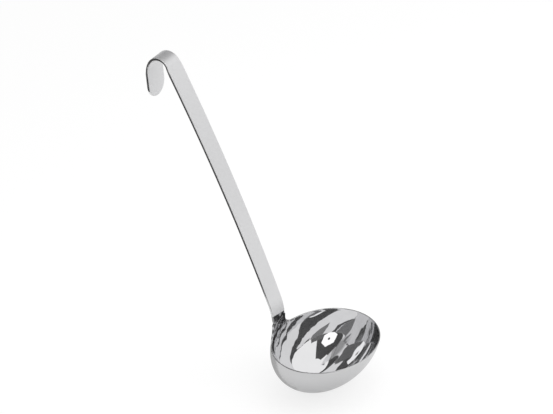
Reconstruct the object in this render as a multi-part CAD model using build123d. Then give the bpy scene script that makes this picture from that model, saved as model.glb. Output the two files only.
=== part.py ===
from build123d import *
import os
from math import atan2, cos, degrees, radians, sin, sqrt

# A soup ladle of stainless steel: a drawn bowl, a flat strip bent into a hanging hook, and the weld between
# them. Sizes are in millimetres. The ladle is worked out with its rim in the plane z = 0, centred on the
# origin, with the handle on the -X side, and is moved at the end so that its origin is the axis of the hook's
# bend.

# The bowl. Every level section is a circle, and lower sections lie further towards the handle. A taper power
# of one makes it a leaning half ellipsoid, and a higher one draws its lower half in.
rim_radius = 45.0
bowl_depth = 46.6
bowl_lean = 15.5
bowl_wall = 1.0
cup_sections = 10
taper_power = 1.08
lowest_latitude_degrees = 88.0

# The upstanding neck tab of the bowl
tab_height = 12.5
tab_width = 20.5
tab_flare_radius = 10.0
tab_corner_round = 1.0

# The strip that makes the handle. Leans are its angles from upright, in degrees.
strip_thickness = 2.0
strip_width = 18.5
neck_radius = 62.0
stem_length = 214.2
lower_lean_degrees = 11.0
upper_lean_degrees = 17.4
edge_round = 0.5

# The hook at the top. The waist is the narrowest place, over the crown of the bend, and the leg runs from the
# bend to the centre of its rounded tip.
hook_radius = 8.0
hook_turn_degrees = 156.0
waist_width = 16.0
waist_rise = 12.0
waist_blend_radius = 20.0
shoulder_blend_radius = 10.0
leg_length = 14.8
tip_width = 22.0

# The weld between the tab and the strip
weld_height = 3.2
weld_inset = 0.5
weld_round = 0.3

# How far cutting shapes run past what they cut
overrun = 5.0

# How much of the tab's width is still curved at each of its level sections, and how high they lie
tab_level_shares = [0.0, 0.12, 0.3, 0.6, 1.0]


# The sloping line of the bowl's wall under the handle, which the neck carries on upwards
wall_slope_degrees = degrees(atan2(bowl_lean, bowl_depth))
neck_turn_degrees = wall_slope_degrees + lower_lean_degrees
stem_turn_degrees = upper_lean_degrees - lower_lean_degrees
stem_radius = stem_length / radians(stem_turn_degrees)


def strip_line(behind):
    """The side view of one face of the strip, from the rim to past the hook's tip, as drawn on X and Z."""
    start_tangent = (sin(radians(wall_slope_degrees)), cos(radians(wall_slope_degrees)))
    start = Vector(-rim_radius, 0) + (strip_thickness - behind) * Vector(start_tangent[1], -start_tangent[0])
    neck = JernArc(start, start_tangent, neck_radius - behind, neck_turn_degrees)
    stem = JernArc(neck @ 1, neck % 1, stem_radius - behind, stem_turn_degrees)
    bend = JernArc(stem @ 1, stem % 1, hook_radius + strip_thickness - behind, hook_turn_degrees)
    leg = Line(bend @ 1, (bend @ 1) + (leg_length + tip_width / 2 + overrun) * (bend % 1))
    return [neck, stem, bend, leg]


front_line = strip_line(0)
back_line = strip_line(strip_thickness)

# Places on the side view that the pieces share
neck_centre = front_line[0].arc_center
bend_centre = front_line[2].arc_center
hook_x = bend_centre.X
hook_z = bend_centre.Y
crown_z = hook_z + hook_radius + strip_thickness
tip_centre_z = (front_line[3] @ 0).Y + leg_length * (front_line[3] % 0).Y
waist_z = crown_z - 2 * strip_thickness
shoulder_z = hook_z - strip_thickness
weld_top_z = tab_height + weld_height


def leaning_cup(radius, depth):
    """A solid round-bottomed cup of level circles, each lying further back as it lies lower."""
    sections = []
    for step in range(cup_sections):
        latitude = radians(lowest_latitude_degrees * step / (cup_sections - 1))
        height = -depth * sin(latitude)
        centre_x = height * bowl_lean / bowl_depth
        sections.append(Pos(centre_x, 0, height) * Circle(radius * cos(latitude) ** taper_power))
    return loft(sections)


def neck_face_x(behind, height):
    """Where a face of the strip lies at a height in the neck, measured from the rim's centre."""
    reach = neck_radius - behind
    return neck_centre.X + sqrt(reach**2 - (height - neck_centre.Y) ** 2)


def tab_section(share):
    """One level section of the tab: as curved as the rim at its foot and flat at its head."""
    height = share * tab_height
    thickness = bowl_wall + share * (strip_thickness - bowl_wall)
    half_width = tab_width / 2 + tab_flare_radius
    flattening = (1 - share) ** 2
    inner_radius = rim_radius - bowl_wall
    back = neck_face_x(strip_thickness, height)
    front = back + thickness
    back_end = back + flattening * (rim_radius - sqrt(rim_radius**2 - half_width**2))
    front_end = front + flattening * (inner_radius - sqrt(inner_radius**2 - half_width**2))
    corners = [(back_end, -half_width), (front_end, -half_width)]
    corners += [(front_end, half_width), (back_end, half_width)]
    if share < 1:
        back_edge = ThreePointArc(corners[3], (back, 0), corners[0])
        front_edge = ThreePointArc(corners[1], (front, 0), corners[2])
    else:
        back_edge = Line(corners[3], corners[0])
        front_edge = Line(corners[1], corners[2])
    ends = [Line(corners[0], corners[1]), Line(corners[2], corners[3])]
    return Pos(0, 0, height) * make_face(Wire([back_edge, ends[0], front_edge, ends[1]]))


def tab_outline():
    """The tab seen from the bowl: straight sides that flare out to lie along the rim."""
    half_width = tab_width / 2
    foot = half_width + tab_flare_radius
    sides = Rectangle(2 * foot, tab_height, align=(Align.CENTER, Align.MIN))
    for side in (-1, 1):
        flare_centre = Pos(side * foot, tab_flare_radius)
        sides -= flare_centre * Circle(tab_flare_radius)
        above = Rectangle(2 * tab_flare_radius, tab_height, align=(Align.CENTER, Align.MIN))
        sides -= flare_centre * above
    return fillet(sides.vertices().group_by(Axis.Y)[-1], tab_corner_round)


def through_x(outline):
    """A prism that carries an outline drawn on Y and Z through the whole part along X."""
    return extrude(Plane.YZ * outline, amount=rim_radius - 2 * hook_x, both=True)


def make_bowl():
    outside = leaning_cup(rim_radius, bowl_depth)
    inside = leaning_cup(rim_radius - bowl_wall, bowl_depth - bowl_wall)
    tab = loft([tab_section(share) for share in tab_level_shares])
    tab = tab & through_x(tab_outline())
    return (outside - inside) + tab


def strip_between(low_z, high_z, width):
    """The strip's side view between two heights of the neck, made solid at a width."""
    closing = [Line(front_line[-1] @ 1, back_line[-1] @ 1), Line(back_line[0] @ 0, front_line[0] @ 0)]
    side_view = make_face(Wire(front_line + [closing[0]] + back_line + [closing[1]]))
    solid = extrude(Plane.XZ * side_view, amount=width / 2, both=True)
    size = 2 * (high_z - low_z) + 2 * rim_radius - 2 * hook_x
    band = Pos(0, 0, low_z) * Box(size, size, high_z - low_z, align=(Align.CENTER, Align.CENTER, Align.MIN))
    return solid & band


def make_neck_weld():
    weld = strip_between(tab_height, weld_top_z, strip_width - 2 * weld_inset)
    upright = weld.edges().filter_by(lambda edge: abs(edge.tangent_at(0).Z) > abs(edge.tangent_at(0).Y))
    return fillet(upright, weld_round)


def stem_outline():
    """The strip in front of the crown, drawn on Y and Z: straight up, then drawn in to the waist."""
    right = [(strip_width / 2, weld_top_z), (strip_width / 2, crown_z - waist_rise)]
    right += [(waist_width / 2, waist_z), (waist_width / 2, crown_z + overrun)]
    left = [(-y, z) for y, z in reversed(right)]
    outline = make_face(Polyline(right + left, close=True))
    bends = outline.vertices().filter_by_position(Axis.Y, crown_z - waist_rise, waist_z)
    return fillet(bends, waist_blend_radius)


def hook_outline():
    """The strip behind the crown, drawn on Y and Z: it widens from the waist to a round-ended leg."""
    tip_radius = tip_width / 2
    right = [(tip_radius, tip_centre_z), (tip_radius, shoulder_z)]
    right += [(waist_width / 2, waist_z), (waist_width / 2, crown_z + overrun)]
    left = [(-y, z) for y, z in reversed(right)]
    tip = ThreePointArc(left[-1], (0, tip_centre_z - tip_radius), right[0])
    outline = make_face(Wire(Polyline(right + left).edges() + tip.edges()))
    bends = outline.vertices().filter_by_position(Axis.Y, shoulder_z, waist_z)
    return fillet(bends, shoulder_blend_radius)


def ease_edges(length_of_strip):
    """Round the edges that run along the strip, and leave those that cross it, which run along X, Y or Z."""
    edges = length_of_strip.edges()
    for axis in (Axis.X, Axis.Y, Axis.Z):
        edges = edges.filter_by(axis, reverse=True)
    return fillet(edges, edge_round)


def make_handle():
    widest = max(strip_width, waist_width, tip_width)
    strip = strip_between(weld_top_z, crown_z + overrun, widest)
    crown_plane = Plane((hook_x, 0, 0), z_dir=(1, 0, 0))
    front_half = split(strip, bisect_by=crown_plane, keep=Keep.TOP) & through_x(stem_outline())
    rear_half = split(strip, bisect_by=crown_plane, keep=Keep.BOTTOM) & through_x(hook_outline())
    return ease_edges(front_half) + ease_edges(rear_half)


parts = {
    "bowl": make_bowl(),
    "neck_weld": make_neck_weld(),
    "handle": make_handle(),
}

os.makedirs("parts", exist_ok=True)
for name, piece in parts.items():
    placed = Pos(-hook_x, 0, -hook_z) * piece
    print(name, "solids", len(placed.solids()), "volume", round(placed.volume, 1), placed.bounding_box())
    export_step(placed, "parts/" + name + ".step")
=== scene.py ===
# %% [markdown]
# # A soup ladle of stainless steel
#
# The real ladle is three pieces of steel: a round bowl pressed from thin sheet, a long flat strip bent
# into a hook at its top, and the small weld that joins the two. The measured CAD model is loaded first
# and stays as it is. Its strip and weld are shown with new finishes, and its bowl gives the place and
# the depth for a finer one with a rounded rim. Round them stands the white studio that polished steel
# needs.

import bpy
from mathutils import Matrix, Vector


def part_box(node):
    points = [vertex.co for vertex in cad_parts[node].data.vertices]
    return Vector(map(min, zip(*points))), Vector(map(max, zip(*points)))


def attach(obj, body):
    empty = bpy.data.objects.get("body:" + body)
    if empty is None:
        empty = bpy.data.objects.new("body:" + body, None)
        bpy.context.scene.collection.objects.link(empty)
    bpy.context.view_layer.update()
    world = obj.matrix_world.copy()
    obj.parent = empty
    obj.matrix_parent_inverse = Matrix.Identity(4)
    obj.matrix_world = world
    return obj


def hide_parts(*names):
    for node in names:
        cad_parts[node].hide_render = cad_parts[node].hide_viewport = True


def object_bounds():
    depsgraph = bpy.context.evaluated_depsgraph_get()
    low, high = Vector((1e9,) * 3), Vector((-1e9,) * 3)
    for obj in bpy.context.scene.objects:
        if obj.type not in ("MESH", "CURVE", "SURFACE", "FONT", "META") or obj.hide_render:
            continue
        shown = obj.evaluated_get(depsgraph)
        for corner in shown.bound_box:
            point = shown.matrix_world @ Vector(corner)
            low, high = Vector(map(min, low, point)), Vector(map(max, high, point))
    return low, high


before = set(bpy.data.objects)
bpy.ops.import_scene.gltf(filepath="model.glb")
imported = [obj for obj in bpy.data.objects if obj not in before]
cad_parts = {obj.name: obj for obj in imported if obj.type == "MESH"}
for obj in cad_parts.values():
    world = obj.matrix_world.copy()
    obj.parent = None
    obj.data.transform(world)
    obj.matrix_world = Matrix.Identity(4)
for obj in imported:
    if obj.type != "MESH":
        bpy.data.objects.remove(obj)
cad_low, cad_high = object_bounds()
print("pieces in the measured model:", sorted(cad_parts))

# %% Tools and unit
from math import asin, atan2, cos, degrees, radians, sin, sqrt

import bpy
from mathutils import Matrix, Vector

mm = 0.001
print("the ladle is", round((cad_high.z - cad_low.z) / mm), "mm tall")

# %% [markdown]
# ## Helpers for modelling
#
# Modelling tools act on whatever is selected, so a piece is first selected alone, and its points are then
# picked by where they are. These short helpers do that, and keep the steps below readable. The last one
# puts the place and the turn of a new piece into its mesh, so that its object sits at the origin like
# the measured pieces, and one pattern can run on from piece to piece.


# %% Select by place
def select_only(piece):
    bpy.ops.object.select_all(action="DESELECT")
    piece.select_set(True)
    bpy.context.view_layer.objects.active = piece


def pick_points(piece, wanted):
    """Leaves exactly those points selected in edit mode whose place passes the test."""
    bpy.ops.object.mode_set(mode="EDIT")
    bpy.ops.mesh.select_mode(type="VERT")
    bpy.ops.mesh.select_all(action="DESELECT")
    bpy.ops.object.mode_set(mode="OBJECT")
    for point in piece.data.vertices:
        point.select = wanted(piece.matrix_world @ point.co)
    bpy.ops.object.mode_set(mode="EDIT")


def name_piece(name):
    """Names the new primitive and its mesh, and gives it back."""
    piece = bpy.context.object
    piece.name = name
    piece.data.name = name
    return piece


def settle(piece):
    """Puts a piece's place, turn and scale into its mesh."""
    select_only(piece)
    bpy.ops.object.transform_apply(location=True, rotation=True, scale=True)


print("helpers for modelling are ready")

# %% [markdown]
# ## The bowl
#
# A real ladle bowl is drawn from a flat disc of sheet: the rim stays round and level, and the metal
# flows down into a deep cup that bulges towards the handle. The same can be done here. A circle is the
# rim, and each extrusion draws the wall a little further down, makes it a little smaller and moves it a
# little towards the handle. A stretched sphere would be quicker, but it would lean the wrong way and
# pinch where a mirror finish shows it most.

# %% Sizes of the bowl
rim_radius = 45 * mm
bowl_lean = 15.5 * mm
bowl_wall = 1 * mm
tab_height = 12.5 * mm
taper_power = 1.08

bowl_low, bowl_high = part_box("bowl")
rim_x = bowl_high.x - rim_radius
rim_z = bowl_high.z - tab_height
bowl_depth = rim_z - bowl_low.z
print("the rim lies at x", round(rim_x / mm, 2), "mm and z", round(rim_z / mm, 2), "mm")


# %% Draw the wall down from the rim
def wall_ring(latitude):
    """The radius, centre and height of one ring of the wall, at so many degrees down from the rim."""
    latitude = radians(latitude)
    drop = bowl_depth * sin(latitude)
    return rim_radius * cos(latitude) ** taper_power, rim_x - drop * bowl_lean / bowl_depth, rim_z - drop


rim_corners = 192
wall_steps = 46
last_even_latitude = 88
closing_latitudes = [89, 89.5]
latitudes = [last_even_latitude * step / wall_steps for step in range(1, wall_steps + 1)]

bpy.ops.mesh.primitive_circle_add(vertices=rim_corners, radius=rim_radius, location=(rim_x, 0, rim_z))
bowl = name_piece("ladle_bowl")
settle(bowl)
bpy.ops.object.mode_set(mode="EDIT")
bpy.ops.mesh.select_all(action="SELECT")
radius, centre_x, height = wall_ring(0)
for latitude in latitudes + closing_latitudes:
    new_radius, new_x, new_height = wall_ring(latitude)
    move = (new_x - centre_x, 0, new_height - height)
    bpy.ops.mesh.extrude_edges_move(TRANSFORM_OT_translate={"value": move})
    shrink = new_radius / radius
    bpy.ops.transform.resize(value=(shrink, shrink, 1), center_override=(new_x, 0, new_height))
    radius, centre_x, height = new_radius, new_x, new_height

# %% Close the bottom
_, bottom_x, bottom_height = wall_ring(90)
move = (bottom_x - centre_x, 0, bottom_height - height)
bpy.ops.mesh.extrude_edges_move(TRANSFORM_OT_translate={"value": move})
bpy.ops.mesh.merge(type="CENTER")
bpy.ops.object.mode_set(mode="OBJECT")
wall_depth = rim_z - bottom_height
print("the wall has", len(bowl.data.polygons), "faces and is", round(wall_depth / mm, 1), "mm deep")

# %% [markdown]
# ### The neck tab
#
# At the back, the sheet isn't trimmed off at the rim. A tab of it stands up to carry the handle, and its
# sides flare out to run into the rim. The back edge of the rim is extruded upwards row by row: each row
# is narrower than the last, which makes the flare, and flatter, because the tab ends as straight as the
# strip that is welded to it.

# %% Sizes of the tab
tab_width = 20.5 * mm
tab_flare_radius = 10 * mm
tab_corner_round = 1 * mm
strip_thickness = 2 * mm
neck_back_radius = 60 * mm

wall_slope = atan2(bowl_lean, bowl_depth)
neck_centre_x = rim_x - rim_radius - neck_back_radius * cos(wall_slope)
neck_centre_z = rim_z + neck_back_radius * sin(wall_slope)


def neck_back_x(height):
    """Where the back of the neck lies at a height above the rim."""
    return neck_centre_x + sqrt(neck_back_radius**2 - (rim_z + height - neck_centre_z) ** 2)


def tab_row(angle):
    """The height above the rim and the half width of the tab, at an angle round its flare."""
    return tab_flare_radius * (1 - cos(angle)), tab_width / 2 + tab_flare_radius * (1 - sin(angle))


print("the wall leans", round(degrees(wall_slope), 1), "degrees where the tab rises from it")

# %% Raise the tab
flare_rows = 9
foot = tab_width / 2 + tab_flare_radius
pick_points(bowl, lambda p: p.z > rim_z - bowl_wall / 2 and abs(p.y) < foot and p.x < rim_x)
rows = [tab_row(radians(90) * step / flare_rows) for step in range(1, flare_rows + 1)]
rows.append((tab_height, tab_width / 2))
old_height, old_half = 0, max(point.co.y for point in bowl.data.vertices if point.select)
for new_height, new_half in rows:
    move = (neck_back_x(new_height) - neck_back_x(old_height), 0, new_height - old_height)
    bpy.ops.mesh.extrude_edges_move(TRANSFORM_OT_translate={"value": move})
    narrower = new_half / old_half
    flatter = narrower**2 * ((tab_height - new_height) / (tab_height - old_height)) ** 2
    middle = (neck_back_x(new_height), 0, rim_z + new_height)
    bpy.ops.transform.resize(value=(flatter, narrower, 1), center_override=middle)
    old_height, old_half = new_height, new_half
print("the tab's last row is", round(2 * old_half / mm, 1), "mm wide")

# %% Round the tab's corners
tab_corner = tab_width / 2 - bowl_wall / 2
same_place = 0.001 * mm
pick_points(bowl, lambda p: p.z > rim_z + tab_height - bowl_wall / 2 and abs(p.y) > tab_corner)
bpy.ops.mesh.bevel(offset=tab_corner_round, segments=4, affect="VERTICES")
bpy.ops.mesh.select_all(action="SELECT")
bpy.ops.mesh.remove_doubles(threshold=same_place)
bpy.ops.mesh.normals_make_consistent(inside=False)
bpy.ops.object.mode_set(mode="OBJECT")
bottom = min(bowl.data.polygons, key=lambda face: face.center.z)
print("the shell has", len(bowl.data.polygons), "faces; the bottom one faces", round(bottom.normal.z, 2))

# %% [markdown]
# ### Thickness
#
# So far the bowl is a skin with no thickness. The Solidify modifier adds the inner wall: 1 mm in the
# bowl, growing to the strip's 2 mm at the head of the tab, which a vertex group steers. The modifier
# also gives the inner wall the next material slot, so the inside gets a finish of its own.

# %% Give the sheet its thickness
thick = bowl.vertex_groups.new(name="thicker_in_the_tab")
for point in bowl.data.vertices:
    thick.add([point.index], max(0, (point.co.z - rim_z) / tab_height), "REPLACE")
outside_finish = bpy.data.materials.new("bowl_outside_soft_polish")
inside_finish = bpy.data.materials.new("bowl_inside_mirror_polish")
bowl.data.materials.append(outside_finish)
bowl.data.materials.append(inside_finish)
select_only(bowl)
bpy.ops.object.modifier_add(type="SOLIDIFY")
sheet = bowl.modifiers[-1]
sheet.thickness = strip_thickness
sheet.offset = -1
sheet.vertex_group = thick.name
sheet.thickness_vertex_group = bowl_wall / strip_thickness
sheet.use_even_offset = True
sheet.material_offset = 1
bpy.ops.object.modifier_apply(modifier=sheet.name)
print("the bowl is now a closed shell of", len(bowl.data.polygons), "faces")

# %% [markdown]
# ### Rim
#
# A real rim is ground so that it doesn't cut, and its round edge is what catches the light. A small
# bevel rounds every sharp edge of the rim and of the tab's sides. The head of the tab stays sharp,
# because the weld sits on it face to face. Where the bevel runs out at the tab's corners it leaves
# slivers thinner than a hair, and points that lie that close are merged there.

# %% Round the rim and the sides of the tab
rim_round = 0.35 * mm
sharp_from = radians(60)
bpy.ops.object.mode_set(mode="EDIT")
bpy.ops.mesh.select_mode(type="EDGE")
bpy.ops.mesh.select_all(action="DESELECT")
bpy.ops.mesh.edges_select_sharp(sharpness=sharp_from)
bpy.ops.object.mode_set(mode="OBJECT")
tab_head = rim_z + tab_height - tab_corner_round / 4
for edge in bowl.data.edges:
    ends = [bowl.data.vertices[i].co for i in edge.vertices]
    if min(end.z for end in ends) > tab_head:
        edge.select = False
bpy.ops.object.mode_set(mode="EDIT")
bpy.ops.mesh.bevel(offset=rim_round, segments=3, profile=0.5, affect="EDGES")
bpy.ops.object.mode_set(mode="OBJECT")
print("with its edges rounded the bowl has", len(bowl.data.polygons), "faces")

# %% Merge the slivers at the tab's corners
sliver = 0.06 * mm
corner_foot = rim_z + tab_height - 3 * tab_corner_round
corner_side = tab_width / 2 - tab_corner_round
pick_points(bowl, lambda p: p.z > corner_foot and abs(p.y) > corner_side)
bpy.ops.mesh.remove_doubles(threshold=sliver)
bpy.ops.object.mode_set(mode="OBJECT")
print("without its slivers it has", len(bowl.data.polygons), "faces")

# %% [markdown]
# ### Smooth light, and the bowl's place in the model
#
# Smooth shading lets the flat faces shine as one curved sheet. The Weighted Normal modifier gives the
# broad faces the say beside the narrow ones of the bevel, so that no soft shadow runs along the rim. The
# new bowl then rides with the ladle and stands for the measured one, which is hidden.

# %% Finish the bowl
soft_up_to = radians(40)
bpy.ops.object.shade_smooth_by_angle(angle=soft_up_to)
bpy.ops.object.modifier_add(type="WEIGHTED_NORMAL")
bowl.modifiers[-1].keep_sharp = True
bpy.ops.object.modifier_apply(modifier=bowl.modifiers[-1].name)
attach(bowl, "root")
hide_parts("bowl")
print("bowl finished:", len(bowl.data.polygons), "faces,", [m.name for m in bowl.data.materials])

# %% [markdown]
# ## Shader maths made readable
#
# A finish is a small recipe of noise, masks and sums. Wired by hand that is dozens of nodes, so one
# small class wraps a socket and lets it stand in a Python sum: `1 - mask` adds the Math node that works
# it out. Any other node comes from one method, which sets the node up, fills its sockets and hands back
# one of its outputs.


# %% The socket class
class Knob:
    """An output socket of a material's nodes that can stand in a sum."""

    def __init__(self, tree, socket=None):
        self.tree = tree
        self.socket = socket

    def node(self, kind, settings, sockets, output=0):
        """Adds a node, sets it up, fills its sockets with values or links, and gives back one output."""
        made = self.tree.nodes.new(kind)
        for name, value in settings.items():
            setattr(made, name, value)
        for name, value in sockets.items():
            if isinstance(value, Knob):
                self.tree.links.new(value.socket, made.inputs[name])
            else:
                made.inputs[name].default_value = value
        return Knob(self.tree, made.outputs[output] if len(made.outputs) else None)

    def beside(self, output):
        """Another output of the same node."""
        return Knob(self.tree, self.socket.node.outputs[output])

    def maths(self, operation, first, second):
        """Adds the Math node that one of the signs below stands for."""
        return self.node("ShaderNodeMath", {"operation": operation}, {0: first, 1: second})

    def __add__(self, other):
        return self.maths("ADD", self, other)

    __radd__ = __add__

    def __sub__(self, other):
        return self.maths("SUBTRACT", self, other)

    def __rsub__(self, other):
        return self.maths("SUBTRACT", other, self)

    def __mul__(self, other):
        return self.maths("MULTIPLY", self, other)

    __rmul__ = __mul__

    def rising(self, low, high):
        """Goes smoothly from 0 where this is low to 1 where it is high."""
        limits = {"Value": self, "From Min": low, "From Max": high, "To Min": 0.0, "To Max": 1.0}
        return self.node("ShaderNodeMapRange", {"interpolation_type": "SMOOTHSTEP"}, limits)

    def along(self, axis):
        """How far this place or direction reaches along X, Y or Z."""
        return self.node("ShaderNodeSeparateXYZ", {}, {"Vector": self}, axis)

    def distance_from(self, spot):
        """How far this place is from a spot."""
        return self.node("ShaderNodeVectorMath", {"operation": "DISTANCE"}, {0: self, 1: spot}, "Value")

    def noise(self, stretch, detail, roughness=0.5):
        """Noise over the place that this socket gives, with so many ripples a metre along X, Y and Z."""
        stretched = self.node("ShaderNodeMapping", {}, {"Vector": self, "Scale": stretch})
        sockets = {"Vector": stretched, "Scale": 1.0, "Detail": detail, "Roughness": roughness}
        return self.node("ShaderNodeTexNoise", {}, sockets)

    def bump(self, strength, distance):
        """Turns a height into tilted light on the surface."""
        sockets = {"Height": self, "Strength": strength, "Distance": distance}
        return self.node("ShaderNodeBump", {}, sockets)


print("the socket class is ready")

# %% [markdown]
# ### Starting a finish and mixing greys
#
# Every finish starts the same way, with a metal shader and the place on the piece. Colours can't pass
# through a Math node, which would turn them grey, so they go through a Mix node. It has one set of
# sockets for each kind of value, all of the same names, and those for colours are asked for by their
# number.


# %% Start a finish
def start_finish(material):
    """Clears a material, and gives back its shader and the place on the piece to build a recipe with."""
    material.use_nodes = True
    tree = material.node_tree
    tree.nodes.clear()
    shader = tree.nodes.new("ShaderNodeBsdfPrincipled")
    output = tree.nodes.new("ShaderNodeOutputMaterial")
    tree.links.new(shader.outputs["BSDF"], output.inputs["Surface"])
    shader.inputs["Metallic"].default_value = 1.0
    return shader, Knob(tree).node("ShaderNodeTexCoord", {}, {}, "Object")


def feed(shader, name, knob):
    """Links a recipe to one of the shader's sockets."""
    knob.tree.links.new(knob.socket, shader.inputs[name])


print("a finish can be started and fed")


# %% Mix colours
mix_share, mix_first, mix_second = 0, 6, 7
mixed_colour = 2
cool_tint = 1.01


def blend(share, first, second):
    """Goes from one colour to another with a share."""
    sockets = {mix_share: share, mix_first: first, mix_second: second}
    return share.node("ShaderNodeMix", {"data_type": "RGBA"}, sockets, mixed_colour)


def grey(share, low, high):
    """A steel grey, a touch cool, that goes from one shade to another with a share."""
    return blend(share, (low, low, low * cool_tint, 1), (high, high, high * cool_tint, 1))


print("helpers for finishes are ready")

# %% [markdown]
# ## The mirror inside the bowl
#
# The inside is buffed until it mirrors the room. Buffed sheet is never quite flat: broad, soft waves as
# thin as a hair run down the drawn wall and bend the reflections. A bump from noise drawn out along the
# wall makes them. It is weak, and yet it turns into streaks like wood grain at the sides, where the
# light is mirrored four or five times before it leaves the bowl. Finer ripples are added at the two ends
# of the bowl. Round the weld the colour holds a painted dark reflection, a darker grey, and the mask for
# that is nothing but the distance from the weld.

# %% Mirror polish
shader, place = start_finish(inside_finish)
weld_middle = (neck_back_x(tab_height), 0, rim_z + tab_height)
painted_dark_up_to = 9 * mm
painted_dark_fades_by = 17 * mm
mirror_metal = 0.97
mirror_roughness = 0.02
haze_roughness = 0.03
# The darker grey round the weld is a painted dark reflection in the colour, fading out with distance.
beyond_painted_dark = place.distance_from(weld_middle).rising(painted_dark_up_to, painted_dark_fades_by)
haze = place.noise(stretch=(60, 60, 60), detail=3)
painted_dark_reflection_grey = grey(haze, low=0.28, high=0.36)
mirror_grey = grey(haze, low=0.76, high=0.82)
feed(shader, "Base Color", blend(beyond_painted_dark, painted_dark_reflection_grey, mirror_grey))
feed(shader, "Roughness", mirror_roughness + haze_roughness * haze)
shader.inputs["Metallic"].default_value = mirror_metal
print("mirror colour made, dark up to", round(painted_dark_up_to / mm), "mm from the weld")

# %% Waves in the mirror
wave_depth = 0.6 * mm
wave_share = 0.5
ripple_share = 1.1
ripples_start = 0.45 * rim_radius
waves = place.noise(stretch=(110, 110, 30), detail=1.0, roughness=0.4)
ripples = place.noise(stretch=(200, 200, 16), detail=0.0)
from_middle = place.along("X") - rim_x
at_the_ends = (from_middle * from_middle).rising(ripples_start**2, rim_radius**2)
uneven = wave_share * waves + ripple_share * at_the_ends * ripples
feed(shader, "Normal", uneven.bump(strength=0.33, distance=wave_depth))
print("waves made, with ripples beyond", round(ripples_start / mm, 1), "mm from the middle")

# %% [markdown]
# ## The soft polish outside
#
# Outside, the bowl is polished only to a soft glow, so it shows the room as smooth light and shade. Fine
# marks of the polishing wheel run round it, level with the rim: a noise that changes fast with height
# and hardly at all round the bowl.

# %% Soft polish
shader, place = start_finish(outside_finish)
mark_depth = 0.05 * mm
polish_roughness = 0.18
haze_roughness = 0.05
mark_roughness = 0.05
marks = place.noise(stretch=(60, 60, 5000), detail=3, roughness=0.6)
haze = place.noise(stretch=(40, 40, 40), detail=3)
feed(shader, "Base Color", grey(haze, low=0.62, high=0.68))
feed(shader, "Roughness", polish_roughness + haze_roughness * haze + mark_roughness * marks)
feed(shader, "Normal", marks.bump(strength=0.1, distance=mark_depth))
print("soft polish made")

# %% [markdown]
# ## The satin strip
#
# The strip comes off an abrasive belt that runs along it, so its grain is thousands of hair-fine lines
# from end to end. Noise squeezed across the strip and drawn out along it makes them, and they roughen
# the surface more than they colour it. The two narrow edges were sheared and then buffed, so they are
# smoother than the faces: they are found by the direction that the surface faces. At the foot the
# grinder that dressed the weld has left the steel smooth up to a slanting line, and below that line its
# colour holds a painted dark reflection. Just above that line the face was rubbed down by hand, and
# scratches that run every way scatter light almost like paper, so the metal share falls there.

# %% Sizes of the marks on the strip
ground_height = 18.2 * mm
ground_slant = 0.30
line_softness = 0.3 * mm
rubbed_height = 4 * mm
fading_height = 30 * mm
face_ends = 0.3
edge_begins = 0.8
edge_buffing = 0.8
print("the ground line slants by", round(degrees(atan2(ground_slant, 1))), "degrees")

# %% Where the strip is ground, rubbed or buffed
satin_finish = bpy.data.materials.new("strip_satin_with_ground_foot")
shader, place = start_finish(satin_finish)
ground_top = rim_z + ground_height
line = place.along("Z") + ground_slant * place.along("Y")
satin = line.rising(ground_top - line_softness, ground_top + line_softness)
sideways = place.beside("Normal").along("Y")
buffed_edge = (sideways * sideways).rising(face_ends, edge_begins)
dull = satin * (1 - edge_buffing * buffed_edge)
rubbed = dull * (1 - line.rising(ground_top + rubbed_height, ground_top + fading_height))
print("the ground foot ends", round(ground_height / mm, 1), "mm above the rim")

# %% Satin steel
grain_depth = 0.04 * mm
smooth_roughness = 0.05
satin_roughness = 0.34
grain_roughness = 0.06
haze_roughness = 0.05
strip_metal = 0.95
metal_lost_by_rubbing = 0.65
grain = place.noise(stretch=(60, 9000, 60), detail=4, roughness=0.7)
haze = place.noise(stretch=(35, 35, 35), detail=3)
# Below the ground line the dark grey is a painted dark reflection in the colour.
painted_dark_reflection_grey = grey(haze, low=0.30, high=0.38)
satin_grey = grey(grain, low=0.74, high=0.83)
feed(shader, "Base Color", blend(satin, painted_dark_reflection_grey, satin_grey))
rough = satin_roughness + grain_roughness * grain + haze_roughness * haze
feed(shader, "Roughness", smooth_roughness + dull * rough)
feed(shader, "Metallic", strip_metal - metal_lost_by_rubbing * rubbed)
feed(shader, "Normal", (grain * dull).bump(strength=0.12, distance=grain_depth))
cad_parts["handle"].material_slots[0].material = satin_finish
print("satin steel made")

# %% [markdown]
# ## The ground weld
#
# The weld was ground flush and buffed together with the strip's foot, and its colour holds the same
# painted dark reflection. A few shallow hollows are left where the bead was laid in ripples.

# %% Ground weld
weld_finish = bpy.data.materials.new("weld_ground_and_buffed")
shader, place = start_finish(weld_finish)
hollow_depth = 0.15 * mm
buffed_roughness = 0.05
hollow_roughness = 0.06
hollows = place.noise(stretch=(400, 400, 400), detail=2)
# The dark grey is a painted dark reflection, and the hollows vary it at random.
feed(shader, "Base Color", grey(hollows, low=0.30, high=0.40))
feed(shader, "Roughness", buffed_roughness + hollow_roughness * hollows)
feed(shader, "Normal", hollows.bump(strength=0.2, distance=hollow_depth))
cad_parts["neck_weld"].material_slots[0].material = weld_finish
print("ground weld made")

# %% [markdown]
# ## The floor
#
# The ladle stands on a white sheet. To the camera the sheet is nearly evenly white, as in a catalogue
# picture, and only a faint shadow is left under the bowl. In reflections it behaves more as real paper
# does, darker where the bowl keeps the light off it.

# %% White floor
floor_width = 6
bpy.ops.mesh.primitive_plane_add(size=floor_width, location=(0, 0, cad_low.z))
floor = name_piece("white_floor")
settle(floor)
print("floor at z", round(cad_low.z / mm, 1), "mm")

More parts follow.
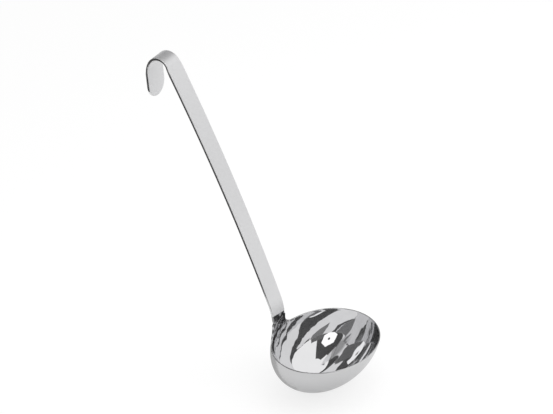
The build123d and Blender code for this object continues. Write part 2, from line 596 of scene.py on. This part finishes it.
# %% Finish of the floor
even_everywhere = 0.05
even_in_view = 0.6
even_in_mirrors = 0.2
sheet_glow = 1.12
paper_colour = (0.85, 0.85, 0.85, 1)
white = (1, 1, 1, 1)
floor_finish = bpy.data.materials.new("white_floor")
floor_finish.use_nodes = True
floor_finish.node_tree.nodes.clear()
camera_rays = Knob(floor_finish.node_tree).node("ShaderNodeLightPath", {}, {}, "Is Camera Ray")
glossy_rays = camera_rays.beside("Is Glossy Ray")
through_rays = camera_rays.beside("Is Transmission Ray")
seen_directly = camera_rays + through_rays
evenly_white = even_everywhere + even_in_view * seen_directly + even_in_mirrors * glossy_rays
paper = camera_rays.node("ShaderNodeBsdfDiffuse", {}, {"Color": paper_colour})
glow = camera_rays.node("ShaderNodeEmission", {}, {"Color": white, "Strength": sheet_glow})
both = camera_rays.node("ShaderNodeMixShader", {}, {0: evenly_white, 1: paper, 2: glow})
both.node("ShaderNodeOutputMaterial", {}, {"Surface": both})
floor.data.materials.append(floor_finish)
print("floor finish made")

# %% [markdown]
# ## The camera
#
# The photograph looks down at the ladle from its front right, from about a metre away with a long lens,
# tilted a little. The camera is placed the same way: a point to aim at, the two angles of the view, and
# the tilt.


# %% Directions round the ladle
def way_out(turn, rise):
    """The direction away from the ladle at a turn to the right of its front and a rise above the level."""
    return Vector((sin(turn) * cos(rise), -cos(turn) * cos(rise), sin(rise)))


print("a quarter turn from the front points along", [round(x) for x in way_out(radians(90), 0)])

# %% Camera
aim = Vector((56.28, 34.63, -136.45)) * mm
view_turn = radians(32.80)
view_rise = radians(28.86)
view_tilt = radians(-9.90)
view_distance = 1.0
sensor_width_mm = 36
lens_mm = 80.05
backwards = way_out(view_turn, view_rise)
bpy.ops.object.camera_add(location=aim + backwards * view_distance)
camera = bpy.context.object
camera.name = "camera"
camera.rotation_mode = "QUATERNION"
level_view = (-backwards).to_track_quat("-Z", "Y")
tilted = Matrix.Rotation(view_tilt, 4, backwards)
camera.rotation_quaternion = (tilted @ level_view.to_matrix().to_4x4()).to_quaternion()
camera.data.sensor_width = sensor_width_mm
camera.data.lens = lens_mm
bpy.context.scene.camera = camera
print("camera at", [round(x, 3) for x in camera.location])

# %% [markdown]
# ## The studio
#
# Polished steel has hardly a colour of its own: it shows what stands round it. So the studio is mostly
# white, with what a photographer adds to shape metal. Two soft lamps add light from above and from the
# right, and they are hidden from reflections, because their square shapes would show in the steel.

# %% White room
room_light = 0.8
more_in_view = 0.2
room = bpy.data.worlds.new("white_room")
bpy.context.scene.world = room
room.use_nodes = True
room.node_tree.nodes.clear()
camera_rays = Knob(room.node_tree).node("ShaderNodeLightPath", {}, {}, "Is Camera Ray")
seen = camera_rays + camera_rays.beside("Is Glossy Ray") + camera_rays.beside("Is Transmission Ray")
strength = room_light + more_in_view * seen
walls = seen.node("ShaderNodeBackground", {}, {"Color": white, "Strength": strength})
walls.node("ShaderNodeOutputWorld", {}, {"Surface": walls})
print("room made")

# %% Soft lamps
bowl_mouth = Vector((rim_x, 0, rim_z))
lamp_distance = 1.2


def soft_lamp(name, turn, rise, size, power):
    """A square soft lamp that points at the bowl, its angles in degrees."""
    outwards = way_out(radians(turn), radians(rise))
    bpy.ops.object.light_add(type="AREA", location=bowl_mouth + outwards * lamp_distance)
    lamp = bpy.context.object
    lamp.name = name
    lamp.rotation_mode = "QUATERNION"
    lamp.rotation_quaternion = (-outwards).to_track_quat("-Z", "Y")
    lamp.data.size = size
    lamp.data.energy = power
    lamp.visible_glossy = False
    print(name, "gives", power, "watts")


soft_lamp("lamp_overhead", turn=90, rise=70, size=0.8, power=3.0)
soft_lamp("lamp_right", turn=100, rise=35, size=0.7, power=2.0)

# %% [markdown]
# ### Cards for the reflections
#
# Black cloth and dark cards stand round the camera's side, at the right and behind, and their
# reflections draw the dark shapes in the bowl. A black card on the floor draws the dark line down the
# strip's edge, and a small grey one the shaded edge round the bowl's belly. All of them are seen only in
# reflections. A curved card is what is left of a sphere round the bowl when all points outside the
# card's angles are deleted.


# %% Cards that only reflections show
def only_in_reflections(piece, brightness):
    """Gives a card its even brightness and hides it from all but reflections."""
    card_finish = bpy.data.materials.new(piece.name)
    card_finish.use_nodes = True
    card_finish.node_tree.nodes.clear()
    shade = {"Color": white, "Strength": brightness}
    light = Knob(card_finish.node_tree).node("ShaderNodeEmission", {}, shade)
    light.node("ShaderNodeOutputMaterial", {}, {"Surface": light})
    piece.data.materials.append(card_finish)
    piece.visible_camera = False
    piece.visible_diffuse = False
    piece.visible_shadow = False
    piece.visible_transmission = False
    print(piece.name, "has", len(piece.data.polygons), "faces")


# %% Cards bent round the bowl
card_distance = 0.90
card_steps_round = 120
card_steps_up = 60
angle_spare = 0.1


def curved_card(name, turns, rises, brightness):
    """A card bent round the bowl, cut from a sphere between two turns and two rises, in degrees."""
    bpy.ops.mesh.primitive_uv_sphere_add(
        segments=card_steps_round, ring_count=card_steps_up, radius=card_distance, location=bowl_mouth
    )
    card = name_piece(name)
    settle(card)
    middle_turn = sum(turns) / 2
    half_turn = (turns[1] - turns[0]) / 2

    def beyond(point):
        out = point - bowl_mouth
        turn = degrees(atan2(out.x, -out.y))
        rise = degrees(asin(max(-1, min(1, out.z / card_distance))))
        off = (turn - middle_turn + 180) % 360 - 180
        inside = rises[0] - angle_spare < rise < rises[1] + angle_spare
        return abs(off) > half_turn + angle_spare or not inside

    pick_points(card, beyond)
    bpy.ops.mesh.delete(type="VERT")
    bpy.ops.object.mode_set(mode="OBJECT")
    only_in_reflections(card, brightness)


curved_card("black_cloth", turns=(-129, -12), rises=(-3, 60), brightness=0.06)
curved_card("upper_dark_card", turns=(-12, 27), rises=(27, 75), brightness=0.07)
curved_card("upper_left_card", turns=(-36, -12), rises=(60, 75), brightness=0.07)
curved_card("low_grey_card", turns=(-12, 45), rises=(-3, 27), brightness=0.14)
curved_card("side_dark_card", turns=(75, 126), rises=(0, 18), brightness=0.08)
curved_card("dark_back_card", turns=(165, 225), rises=(18, 63), brightness=0.25)

# %% Cards on the floor
card_lift = 0.3 * mm


def floor_card(name, x_range, y_range, brightness):
    """A flat card just above the floor, between two places along X and along Y, in millimetres."""
    middle = (sum(x_range) / 2 * mm, sum(y_range) / 2 * mm, cad_low.z + card_lift)
    bpy.ops.mesh.primitive_plane_add(size=1 * mm, location=middle)
    card = name_piece(name)
    card.scale = (x_range[1] - x_range[0], y_range[1] - y_range[0], 1)
    settle(card)
    only_in_reflections(card, brightness)


floor_card("black_floor_card", x_range=(-650, 650), y_range=(-820, -120), brightness=0.03)
floor_card("shade_card_under_the_bowl", x_range=(-60, 80), y_range=(-32, 90), brightness=0.5)

# %% [markdown]
# ### The six-sided soft light
#
# The bright patch in the middle of the bowl is the mirror image of a six-sided soft light with a dark
# hub, such as photographers use. Two flat shapes are enough for it, the hub a little nearer to the bowl.

# %% Six-sided soft light
light_turn = radians(-5)
light_rise = radians(29)
light_out = way_out(light_turn, light_rise)


def flat_light(name, corners, radius, distance, brightness):
    """A flat many-sided light, or its hub, that faces the bowl."""
    middle = bowl_mouth + light_out * distance
    bpy.ops.mesh.primitive_circle_add(vertices=corners, radius=radius, fill_type="NGON", location=middle)
    light = name_piece(name)
    light.rotation_mode = "QUATERNION"
    light.rotation_quaternion = (-light_out).to_track_quat("Z", "Y")
    settle(light)
    only_in_reflections(light, brightness)


flat_light("six_sided_soft_light", corners=6, radius=0.25, distance=0.80, brightness=1.3)
flat_light("soft_light_hub", corners=24, radius=0.04, distance=0.78, brightness=0.10)

# %% [markdown]
# ## Finish
#
# Colours are shown as they are, with no film look on top.

# %% Colour
bpy.context.scene.view_settings.view_transform = "Standard"
